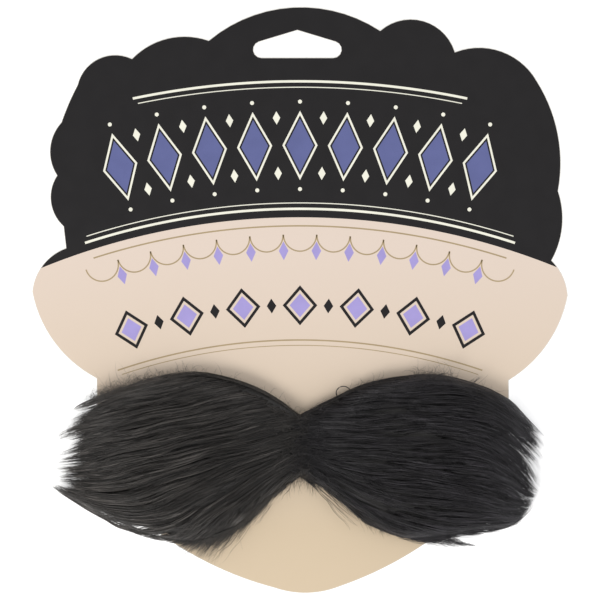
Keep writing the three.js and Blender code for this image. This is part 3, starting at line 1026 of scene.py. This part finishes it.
def hair_piece(form, kind, hairs, material):
    """Joins hairs of a wing into one piece. Each hair is a closed, three-sided, tapering tube along its
    path, with a cap at its root and a point at its tip."""
    paths, radii, shades = hairs
    count, steps, _ = paths.shape
    forward = unit_vectors(np.gradient(paths, axis=1))
    sideways = unit_vectors(np.cross((0, 0, 1), forward))
    upwards = np.cross(forward, sideways)
    angles = np.radians((90, 210, 330))
    around = (
        np.cos(angles)[:, None] * sideways[:, :-1, None, :]
        + np.sin(angles)[:, None] * upwards[:, :-1, None, :]
    )
    rings = paths[:, :-1, None, :] + radii[:, :-1, None, None] * around
    each = 3 * (steps - 1) + 1
    points = np.concatenate([rings.reshape(count, -1, 3), paths[:, -1:]], axis=1)
    values = np.concatenate([np.repeat(shades[:, :-1], 3, axis=1), shades[:, -1:]], axis=1)
    tip = each - 1
    quads = []
    for r in range(steps - 2):
        for k in range(3):
            a, b = 3 * r + k, 3 * r + (k + 1) % 3
            quads.append((a, b, b + 3, a + 3))
    last = 3 * (steps - 2)
    triangles = [(0, 2, 1)] + [(last + k, last + (k + 1) % 3, tip) for k in range(3)]
    starts = np.arange(count)[:, None, None] * each
    quads = (np.array(quads)[None] + starts).reshape(-1, 4)
    triangles = (np.array(triangles)[None] + starts).reshape(-1, 3)
    corners = np.concatenate([quads.ravel(), triangles.ravel()])
    sizes = np.concatenate([np.full(len(quads), 4), np.full(len(triangles), 3)])
    name = form.name + "_" + kind
    mesh = bpy.data.meshes.new(name)
    mesh.vertices.add(count * each)
    mesh.vertices.foreach_set("co", points.astype(np.float32).ravel())
    mesh.loops.add(len(corners))
    mesh.loops.foreach_set("vertex_index", corners.astype(np.int32))
    mesh.polygons.add(len(sizes))
    mesh.polygons.foreach_set("loop_start", (np.cumsum(sizes) - sizes).astype(np.int32))
    mesh.polygons.foreach_set("use_smooth", np.ones(len(sizes), bool))
    shade = mesh.attributes.new("shade", "FLOAT", "POINT")
    shade.data.foreach_set("value", values.astype(np.float32).ravel())
    mesh.update(calc_edges=True)
    mesh.validate()
    mesh.materials.append(material)
    obj = new_object(name, mesh)
    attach(obj, "root")
    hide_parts(form.name + "_wing")


def joined(*groups):
    return tuple(np.concatenate(parts) for parts in zip(*groups))


# Waves that neighbouring hairs share: how far they turn the nap, their length along the wing and
# across it in millimetres, and where they start.
NAP_WAVES = ((0.06, 37, 21, 0.0), (0.045, 17, -9.5, 2.0), (0.03, 7.7, 5.3, 4.0))


def waviness(plan):
    x, y = plan[..., 0] / MM, plan[..., 1] / MM
    return sum(a * np.sin(2 * np.pi * (x / long + y / wide) + start) for a, long, wide, start in NAP_WAVES)


TRACE_STEPS = 25


def own_waves(rng, lines, size, length, wave_length):
    """Turns of each line of its own, in radians at each step of its trace."""
    rate = (length / wave_length)[:, None] * rng.uniform(0.7, 1.4, lines)[:, None]
    phase = rng.uniform(0, 1, lines)[:, None]
    t = np.linspace(0, 1, TRACE_STEPS)[None, :]
    strength = size * rng.uniform(0.3, 1.5, lines)[:, None]
    return strength * np.sin(2 * np.pi * (rate * t + phase))


def trace(form, start, length, turn, backwards=False):
    """Lines in plan that follow the nap from their starts, or that lead up to their ends."""
    step = (length / (TRACE_STEPS - 1))[:, None] * (-1 if backwards else 1)
    places = [start]
    for k in range(1, TRACE_STEPS):
        at = places[-1]
        angle = form.nap_angle(at) + waviness(at) + turn[:, k]
        heading = np.stack([form.side * np.cos(angle), -np.sin(angle)], axis=-1)
        places.append(at + step * heading)
    if backwards:
        places.reverse()
    return np.stack(places, axis=1)


def kept_length(form, line, thinning, overhang):
    """The share of each line before it passes its lane's end or hangs too far over the edge."""
    out, up = form.measured(line)
    along, across = form.shares(line)
    lane = up[np.arange(len(line)), np.argmax(out > LANE_OUT, axis=1)]
    lane = np.where(out[:, -1] > LANE_OUT, lane, 0)
    lanes, reaches, thin = form.ends.T
    short = np.clip(1 - 0.5 * thinning, 0, 1)
    reach = np.interp(lane, lanes, reaches) - short * np.interp(lane, lanes, thin)
    over = np.interp(along, form.overhang[:, 0], form.overhang[:, 1])
    past = (out > reach[:, None]) | (across < CRISP_EDGE - over * overhang[:, None])
    past[:, -1] = True
    return np.argmax(past, axis=1) / (TRACE_STEPS - 1)


def taper(t, widest):
    """Radius of a hair along its length."""
    return 0.5 * widest * (1 - 0.85 * t**1.7)


# Where along its strand a hair starts and where it ends, and how far it sways aside.
HAIR_START, HAIR_END = (0, 0.16), (0.93, 1)
SWAY = 0.25
# How much hairs of one strand differ in height, as a share of the fur's, and in shade.
LIE_SCATTER, SHADE_SCATTER = 0.008, 0.12


def hairs_along(form, rng, strands, per_line, steps, spread, draw, root_lie, width, held_in):
    """Hairs side by side along each strand, which draw together towards its tip. Those held in stay
    within the wing's edges."""
    line, keep, lies, shade = strands
    count = len(line) * per_line
    own = np.repeat(np.arange(len(line)), per_line)
    t = np.linspace(0, 1, steps)[None, :]
    first = rng.uniform(*HAIR_START, count)[:, None]
    last = rng.uniform(*HAIR_END, count)[:, None]
    place = keep[own][:, None] * (first + (last - first) * t) * (TRACE_STEPS - 1)
    k = np.minimum(place.astype(int), TRACE_STEPS - 2)
    f = (place - k)[..., None]
    centre = line[own[:, None], k] * (1 - f) + line[own[:, None], k + 1] * f
    forward = unit_vectors(np.gradient(centre, axis=1))
    sideways = np.stack([-forward[..., 1], forward[..., 0]], axis=-1)
    aside = rng.normal(0, 1, count)[:, None]
    rate = rng.uniform(1, 2.4, count)[:, None]
    phase = rng.uniform(0, 1, count)[:, None]
    sway = SWAY * np.sin(2 * np.pi * (rate * t + phase))
    plan = centre + sideways * (spread * (aside * (1 - draw * t**1.4) + sway * t))[..., None]
    along, across = form.shares(plan)
    if held_in:
        crisp = np.interp(along, form.overhang[:, 0], form.overhang[:, 1]) < 0.01
        held = np.where(crisp, np.maximum(across, CRISP_EDGE), across)
        held = np.minimum(held, 1.0 - 0.03 * rng.uniform(0, 1, count)[:, None])
        plan = form.parted(form.plan(along, held))
    lie = lies[own][:, None] - 0.02 * aside**2 + rng.normal(0, LIE_SCATTER, count)[:, None]
    share = root_lie + (lie - root_lie) * np.minimum(1, 3.5 * t) ** 0.7
    paths = np.concatenate([plan, form.height(plan, share)[..., None]], axis=-1)
    radii = taper(t, width) * rng.uniform(0.75, 1.2, count)[:, None]
    # Painted highlights: the shade of each strand's hairs rises and falls along them, like glints of
    # light.
    phase = rng.uniform(0, 1, len(line))[own][:, None]
    glint = 0.7 + 0.4 * np.sin(2 * np.pi * (1.7 * t + phase))
    shades = shade[own][:, None] * glint + rng.normal(0, SHADE_SCATTER, count)[:, None]
    shades = np.clip(shades, 0, 1)
    return paths, radii, shades


COAT_STEPS, UNDER_STEPS = 9, 7
# Shortest and longest hairs of each wing's top coat, and of both under coats, in millimetres.
TOP_LENGTH = {"left": (24, 44), "right": (18, 36)}
# How far the hairs of a top coat's strands lie apart, and at which shares of the fur's height.
TOP_SPREAD = {"left": 0.36 * MM, "right": 0.55 * MM}
TOP_LIES = {"left": (0.965, 1.025), "right": (0.98, 1.015)}
UNDER_LENGTH = (20, 34)
# Both coats root from the seam to here along the wing, and the fine hairs of the end nearer to it.
COAT_ROOTS = (0, 0.84)
END_ROOTS = (0.6, 0.87)
END_LENGTH = (12, 26)


def strand_shades(rng, along):
    """Mostly dark strands with some light ones, partly the hairs' own tones and partly painted highlight
    streaks. They are darkest at the knot: painted shade in the pinched seam.
    """
    knot = np.clip(0.4 + 3.2 * np.abs(along), 0, 1)
    return knot * rng.beta(1.1, 2.6, len(along))


# How far in from the edge the hairs lie that follow it, and where they root along the top and
# the bottom edge.
RIM_DEPTH, END_RIM_DEPTH = 1.3 * MM, 0.5 * MM
TOP_RIM, BOTTOM_RIM, END_RIM = (0, 0.42), (0.01, 0.24), (0.46, 0.78)
# Shares of a coat's strands that root close along the top edge, the bottom edge and the seam.
AT_TOP, AT_BOTTOM, AT_SEAM = 0.2, 0.16, 0.16
# They do so up to here along the wing. Strands root more thinly where the wing is narrower than
# FULL_BREADTH, and those cut off before SHORTEST_KEPT of their length are left out.
INNER_HALF = 0.5
FULL_BREADTH = 64 * MM
SHORTEST_KEPT = 0.12


def coat_strands(form, rng, strands, roots, reach, lies):
    """Strands of a coat, rooted over a stretch of the cloth, and closer along its inner edges."""
    candidates = rng.uniform(*roots, 5 * strands)
    chance = form.breadth(candidates) / FULL_BREADTH
    along = candidates[rng.uniform(0, 1, len(candidates)) < chance][:strands]
    count = len(along)
    across = rng.uniform(-1, 1, count)
    kind = rng.uniform(0, 1, count)
    at_top = (kind < AT_TOP) & (along < INNER_HALF)
    at_bottom = (kind > 1 - AT_BOTTOM) & (along < INNER_HALF)
    at_seam = (kind > AT_TOP) & (kind < AT_TOP + AT_SEAM) & (along < INNER_HALF)
    near = 0.07 * np.abs(rng.normal(0, 1, count))
    across = np.where(at_top, 0.985 - near, across)
    across = np.where(at_bottom, near - 0.97, across)
    along = np.where(at_seam, rng.uniform(-0.07, 0.03, count), along)
    across = np.where(at_seam, 0.78 * across, across)
    length = rng.uniform(*reach, count) * np.where(at_bottom, 0.6, 1) * MM
    turn = own_waves(rng, count, 0.04, length, 13 * MM)
    line = trace(form, form.plan(along, across), length, turn)
    keep = kept_length(form, line, rng.exponential(1, count), rng.exponential(1, count))
    long_enough = keep > SHORTEST_KEPT
    shades = strand_shades(rng, along)
    lie = rng.uniform(*lies, count)
    return line[long_enough], keep[long_enough], lie[long_enough], shades[long_enough]


def rim_hairs(form, rng, edge, span, depth, hairs, width):
    """Hairs close along the top edge (1) or the bottom edge (-1), which keep its line crisp."""
    t = np.linspace(0, 1, COAT_STEPS)[None, :]
    start = rng.uniform(*span, hairs)[:, None]
    along = start + rng.uniform(0.1, 0.22, hairs)[:, None] * t
    inwards = rng.uniform(0.1 * MM, depth, hairs)[:, None]
    across = edge * (1 - 2 * inwards / form.breadth(np.abs(along)))
    plan = form.plan(along, across)
    height = form.height(plan, rng.uniform(0.4, 1.2, hairs)[:, None])
    paths = np.concatenate([plan, height[..., None]], axis=-1)
    radii = taper(t, width) * rng.uniform(0.75, 1.2, hairs)[:, None]
    shades = rng.uniform(0, 0.15, hairs)[:, None] * np.ones_like(t)
    return paths, radii, shades


# One coat of a wing. reach is the length of its strands in millimetres, lies and root_lie say at
# which shares of the fur's height they lie and start, light dims their shades (for the under coat this
# is painted shade, under the top coat), and rims are the rows of hairs along its edges: which edge,
# from and to along the wing, depth and how many.
Coat = namedtuple(
    "Coat",
    "kind strands roots reach lies per_strand spread draw root_lie width steps light rims",
    defaults=(COAT_STEPS, 1, ()),
)


def coats_of(form, fur):
    """The coats of one wing, from the cloth outwards."""
    return (
        Coat(
            kind="under_coat",
            strands=fur.strands // 2,
            roots=COAT_ROOTS,
            reach=UNDER_LENGTH,
            lies=(0.88, 0.96),
            per_strand=5,
            steps=UNDER_STEPS,
            spread=0.5 * MM,
            draw=0.4,
            root_lie=0.5,
            width=fur.hair_width,
            # Painted shade: the under coat's hairs are dimmed, for the shade of the top coat over them.
            light=0.8,
        ),
        Coat(
            kind="top_coat",
            strands=fur.strands,
            roots=COAT_ROOTS,
            reach=TOP_LENGTH[form.name],
            lies=TOP_LIES[form.name],
            per_strand=4,
            spread=TOP_SPREAD[form.name],
            draw=0.4,
            root_lie=0.6,
            width=fur.hair_width,
            rims=((1, TOP_RIM, RIM_DEPTH, 150), (-1, BOTTOM_RIM, RIM_DEPTH, 120)),
        ),
        Coat(
            kind="end_hairs",
            strands=300,
            roots=END_ROOTS,
            reach=END_LENGTH,
            lies=(0.5, 1),
            per_strand=5,
            spread=0.6 * MM,
            draw=0.3,
            root_lie=0.4,
            width=fur.wisp_width,
            rims=((-1, END_RIM, END_RIM_DEPTH, 150),),
        ),
    )


class MOUSTACHE_OT_coats(bpy.types.Operator):
    """The long hairs of both wings: an under coat, a top coat and fine hairs at the ends"""

    bl_idname = "moustache.coats"
    bl_label = "Coats of hair"

    def execute(self, context):
        fur = settings().fur
        for name, form in WINGS.items():
            rng = np.random.default_rng([fur.seed, form.side + 1])
            # Painted light: each wing gets its own copy of the hair, lighter on the left where the key
            # light falls and darker on the right.
            dark, light = getattr(fur, name + "_dark"), getattr(fur, name + "_light")
            material = hair_material(name, dark, light)
            for coat in coats_of(form, fur):
                line, keep, lie, shade = coat_strands(
                    form, rng, coat.strands, coat.roots, coat.reach, coat.lies
                )
                strands = (line, keep, lie, coat.light * shade)
                hairs = hairs_along(
                    form, rng, strands, coat.per_strand, coat.steps,
                    coat.spread, coat.draw, coat.root_lie, coat.width, True,
                )
                rims = [rim_hairs(form, rng, *rim, fur.wisp_width) for rim in coat.rims]
                hair_piece(form, coat.kind, joined(hairs, *rims), material)
        return {"FINISHED"}


STRAY_STEPS = 10
# How far above the card stray hairs stay.
CARD_CLEARANCE = 0.3 * MM
# Fuzz and fringe are finer than a wisp's hairs, and the hair of the loop is thicker than the coats'.
FINE_SHARE, LOOP_SHARE = 0.7, 2.2
KNOT_HAIRS, NOTCH_HAIRS = 420, 34

# Pointed wisps. Each row is how far out from the seam and up from the middle line the tip lies,
# in millimetres, the wisp's length, how many hairs it has, how far their roots scatter, how much
# they draw together (1 is to a point) and how far the wisp turns down from the nap, in degrees.
LEFT_WISPS = (
    (54.0, -33.4, 16, 30, 2.2, 0.2, 4),
    (50.0, -35.6, 18, 40, 2.5, 0.2, 6),
    (45.5, -38.4, 20, 44, 2.6, 0.2, 8),
    (40.4, -41.4, 20, 44, 2.7, 0.15, 8),
    (36.0, -43.0, 20, 42, 2.7, 0.15, 9),
    (34.2, -39.6, 18, 42, 2.6, 0.15, 9),
    (29.4, -36.4, 16, 40, 2.5, 0.15, 9),
    (25.0, -32.6, 13, 36, 2.3, 0.15, 9),
    (20.5, -28.4, 11, 32, 2.0, 0.15, 9),
    (15.4, -23.8, 9, 26, 1.8, 0.2, 9),
    (11.0, -19.4, 7, 16, 1.5, 0.2, 10),
)
RIGHT_WISPS = (
    (67.2, -37.9, 28, 30, 1.0, 0.9, 6),
    (65.6, -37.5, 27, 24, 1.1, 0.85, 7),
    (63.6, -38.2, 26, 22, 1.1, 0.8, 6),
    (61.0, -38.7, 24, 20, 1.2, 0.8, 6),
    (58.6, -38.4, 22, 20, 1.3, 0.7, 6),
    (55.6, -37.9, 20, 20, 1.3, 0.7, 6),
    (61.6, -36.6, 22, 22, 1.0, 0.8, 9),
    (58.4, -35.9, 20, 22, 1.0, 0.8, 10),
    (55.2, -35.2, 18, 22, 1.0, 0.7, 10),
    (52.0, -36.6, 17, 20, 1.2, 0.6, 6),
    (69.9, -33.2, 24, 24, 0.8, 0.85, 1),
    (19.8, -32.2, 23, 3, 0.8, 0.2, 8),
    (16.2, -27.0, 18, 3, 1.0, 0.2, 10),
    (22.6, -30.6, 20, 3, 0.8, 0.2, 2),
)


def wisp_hairs(form, rng, rows, width):
    groups = []
    for out, up, length, hairs, scatter, draw, turn in rows:
        tip = np.array([[form.side * out * MM, MOUSTACHE_MIDDLE + up * MM]])
        length = np.array([length * MM])
        swing = own_waves(rng, 1, 0.09, length, 16 * MM) + math.radians(turn)
        line = trace(form, tip, length, swing, backwards=True)
        lie = np.array([rng.uniform(0.9, 1.02)])
        shade = np.array([rng.uniform(0.12, 0.4)])
        strand = (line, np.ones(1), lie, shade)
        wisp = hairs_along(form, rng, strand, hairs, STRAY_STEPS, scatter * MM, draw, 0.6, width, False)
        groups.append(wisp)
    return joined(*groups)


def loose_hairs(form, rng, root, heading, length, curl, lift, width, shade):
    """Short curly hairs that go their own way: heading is in radians above level, outwards."""
    hairs = len(root)
    t = np.linspace(0, 1, STRAY_STEPS)[None, :]
    angle = heading[:, None] + curl[:, None] * t
    step = length[:, None] / (STRAY_STEPS - 1)
    ahead = np.stack([form.side * np.cos(angle) * step, np.sin(angle) * step], axis=-1)
    plan = root[:, None] + np.cumsum(ahead, axis=1)
    drift = rng.normal(0, 0.2, hairs)[:, None] * length[:, None] * t
    height = form.height(root[:, None], lift[:, None]) + drift
    height = np.maximum(height, CARD_FACE + CARD_CLEARANCE)
    paths = np.concatenate([plan, height[..., None]], axis=-1)
    radii = taper(t, width) * rng.uniform(0.7, 1.1, hairs)[:, None]
    shades = np.clip(shade + rng.normal(0, 0.06, hairs), 0, 1)[:, None] * np.ones_like(t)
    return paths, radii, shades


# Where fuzz stands out of an edge: the edge (1 top, -1 bottom), from and to along the wing, hairs,
# their heading in degrees above level and its scatter, their mean length in millimetres and curl.
LEFT_FUZZ = (
    (1, 0.02, 0.4, 60, 30, 45, 2.5, 2.2),
    (1, 0.4, 0.6, 170, 30, 45, 2.4, 2.2),
    (1, 0.6, 0.84, 640, 25, 40, 2.9, 3.0),
    (-1, 0.05, 0.42, 300, -62, 14, 2.2, 0.4),
    (-1, 0.12, 0.42, 200, -56, 12, 4.0, 0.4),
    (-1, 0.16, 0.36, 130, -60, 8, 7.5, 0.25),
    (-1, 0.36, 0.45, 60, -53, 7, 6.0, 0.25),
)
RIGHT_FUZZ = (
    (1, 0.01, 0.24, 50, 30, 45, 2.2, 2.2),
    (1, 0.24, 0.33, 70, 30, 45, 2.0, 2.2),
    (1, 0.46, 0.62, 320, 25, 45, 2.6, 2.6),
    (1, 0.66, 0.82, 24, 25, 45, 2.2, 2.2),
    (1, 0.69, 0.715, 12, 38, 6, 3.4, 0.3),
    (-1, 0.04, 0.36, 170, -52, 12, 1.9, 0.4),
)


def edge_fuzz(form, rng, rows, width):
    groups = []
    for edge, low, high, hairs, heading, scatter, mean_length, curl in rows:
        root = form.plan(rng.uniform(low, high, hairs), edge * rng.uniform(0.95, 1.0, hairs))
        angle = np.radians(rng.normal(heading, scatter, hairs))
        length = rng.gamma(3.2, mean_length / 3.2, hairs) * MM
        lift = rng.uniform(0.3, 2.2, hairs)
        curls = rng.normal(0, curl, hairs)
        groups.append(loose_hairs(form, rng, root, angle, length, curls, lift, width, 0.2))
    return joined(*groups)


def notch_fringe(form, rng, hairs, width):
    """Short fine hairs that hang straight down from under the seam."""
    root = form.plan(rng.uniform(0, 0.055, hairs), rng.uniform(-0.99, -0.85, hairs))
    heading = rng.normal(-1.5, 0.16, hairs)
    length = rng.uniform(2.5, 6.5, hairs) * MM
    curl = rng.normal(0, 0.3, hairs)
    return loose_hairs(form, rng, root, heading, length, curl, np.full(hairs, 0.5), width, 0.1)


def knot_fuzz(form, rng, hairs, width):
    """Short hairs every which way over the seam."""
    along = rng.uniform(-0.04, 0.1, hairs)
    root = form.plan(along, rng.uniform(-0.9, 0.84, hairs))
    heading = rng.normal(0, 0.9, hairs)
    length = rng.uniform(3, 6.5, hairs) * MM
    lift = rng.uniform(0.96, 1.12, hairs)
    return loose_hairs(form, rng, root, heading, length, rng.normal(0, 1.4, hairs), lift, width, 0.14)


# The one long hair that curls round in a loop above the right wing: its middle, in millimetres
# out from the seam and up from the middle line, and its radius.
LOOP_OUT, LOOP_UP, LOOP_RADIUS = 16.2, 19.4, 2.7


def loop_hair(form, width):
    angle = np.linspace(math.radians(-60), math.radians(235), 3 * STRAY_STEPS)
    x = form.side * (LOOP_OUT + LOOP_RADIUS * np.cos(angle)) * MM
    y = MOUSTACHE_MIDDLE + (LOOP_UP + 0.9 * LOOP_RADIUS * np.sin(angle)) * MM
    z = CLOTH_TOP + (2.5 + 1.2 * np.sin(angle)) * MM
    path = np.stack([x, y, z], axis=-1)
    starts = range(0, 3 * (STRAY_STEPS - 1), STRAY_STEPS - 1)
    thirds = np.stack([path[start : start + STRAY_STEPS] for start in starts])
    radii = np.full(thirds.shape[:2], 0.5 * width)
    return thirds, radii, np.full(thirds.shape[:2], 0.1)


class MOUSTACHE_OT_strays(bpy.types.Operator):
    """Wisps, fringe, stray hairs and fuzz round the edges"""

    bl_idname = "moustache.strays"
    bl_label = "Stray hairs"

    def execute(self, context):
        fur = settings().fur
        wisps = {"left": LEFT_WISPS, "right": RIGHT_WISPS}
        fuzz = {"left": LEFT_FUZZ, "right": RIGHT_FUZZ}
        for name, form in WINGS.items():
            rng = np.random.default_rng([fur.seed + 1, form.side + 1])
            groups = [
                wisp_hairs(form, rng, wisps[name], fur.wisp_width),
                edge_fuzz(form, rng, fuzz[name], FINE_SHARE * fur.wisp_width),
                knot_fuzz(form, rng, KNOT_HAIRS, fur.wisp_width),
                notch_fringe(form, rng, NOTCH_HAIRS, FINE_SHARE * fur.wisp_width),
            ]
            if name == "right":
                groups.append(loop_hair(form, LOOP_SHARE * fur.hair_width))
            material = bpy.data.materials[name + "_black_hair"]
            hair_piece(form, "stray_hairs", joined(*groups), material)
        return {"FINISHED"}


# How far the floor lies under the card, so that the two never share a plane.
FLOOR_GAP = 0.05 * MM
SENSOR = 36 * MM
VIEW_WIDTH = 225 * MM


# Soft lights: name, place, diameter, share of the key's power, and colour. They point at LIT_PLACE.
LIGHTS = (
    ("key", (-0.45, -0.6, 0.9), 0.5, 1, (1, 0.98, 0.95)),
    ("fill", (0.8, -0.2, 0.7), 0.7, 0.3, (0.94, 0.96, 1)),
)
LIT_PLACE = Vector((0, -0.03, 0))


def area_light(name, location, size, power, colour):
    data = bpy.data.lights.new(name, "AREA")
    data.shape = "DISK"
    data.size = size
    data.energy = power
    data.color = colour
    light = new_object(name, data)
    light.location = location
    light.rotation_euler = (LIT_PLACE - Vector(location)).to_track_quat("-Z", "Y").to_euler()


class MOUSTACHE_OT_stage(bpy.types.Operator):
    """The pale floor, the soft light and the camera straight above"""

    bl_idname = "moustache.stage"
    bl_label = "Stage"

    def execute(self, context):
        stage = settings().stage
        scene = bpy.context.scene
        deselect_all()
        bpy.ops.mesh.primitive_plane_add(size=4, location=(0, 0, -FLOOR_GAP))
        floor = bpy.context.object
        floor.name = "floor"
        shader = Shader("floor", Roughness=0.9, Emission_Color=(1, 1, 1, 1), Emission_Strength=0.35)
        tint = shader.noise(shader.place(), 30)
        shader.colour(shader.ramp(tint, shaded(stage.floor, 0.995), stage.floor))
        floor.data.materials.append(shader.material)
        world = bpy.data.worlds.new("soft_sky")
        world.use_nodes = True
        sky = world.node_tree.nodes["Background"]
        sky.inputs["Color"].default_value = (1, 1, 1, 1)
        sky.inputs["Strength"].default_value = stage.sky
        scene.world = world
        for name, location, size, share, colour in LIGHTS:
            area_light(name, location, size, share * stage.key, colour)
        data = bpy.data.cameras.new("camera")
        data.lens = stage.lens
        data.sensor_width = SENSOR / MM
        camera = new_object("camera", data)
        camera.location = (0, 0, CARD_FACE + VIEW_WIDTH * stage.lens * MM / SENSOR)
        scene.camera = camera
        scene.view_settings.view_transform = "Standard"
        return {"FINISHED"}


class MOUSTACHE_PT_panel(bpy.types.Panel):
    """Lists the steps that build the moustache and its card"""

    bl_idname = "MOUSTACHE_PT_panel"
    bl_label = "Moustache"
    bl_space_type = "VIEW_3D"
    bl_region_type = "UI"
    bl_category = "Moustache"

    def draw(self, context):
        for operator in OPERATORS:
            self.layout.operator(operator.bl_idname)
        for group in ("card", "fur", "stage"):
            box = self.layout.box()
            values = getattr(context.scene.moustache, group)
            for name in values.__annotations__:
                box.prop(values, name)


OPERATORS = (
    MOUSTACHE_OT_stage,
    MOUSTACHE_OT_board,
    MOUSTACHE_OT_fields,
    MOUSTACHE_OT_arch_lines,
    MOUSTACHE_OT_lozenges,
    MOUSTACHE_OT_garland,
    MOUSTACHE_OT_strip,
    MOUSTACHE_OT_backing,
    MOUSTACHE_OT_coats,
    MOUSTACHE_OT_strays,
)
CLASSES = (
    CardSettings,
    FurSettings,
    StageSettings,
    MoustacheSettings,
    *OPERATORS,
    MOUSTACHE_PT_panel,
)


def register():
    for cls in CLASSES:
        bpy.utils.register_class(cls)
    bpy.types.Scene.moustache = PointerProperty(type=MoustacheSettings)


def unregister():
    del bpy.types.Scene.moustache
    for cls in reversed(CLASSES):
        bpy.utils.unregister_class(cls)


def main():
    register()
    bpy.ops.moustache.stage()
    bpy.ops.moustache.board()
    bpy.ops.moustache.fields()
    bpy.ops.moustache.arch_lines()
    bpy.ops.moustache.lozenges()
    bpy.ops.moustache.garland()
    bpy.ops.moustache.strip()
    bpy.ops.moustache.backing()
    bpy.ops.moustache.coats()
    bpy.ops.moustache.strays()


if __name__ == "__main__":
    main()
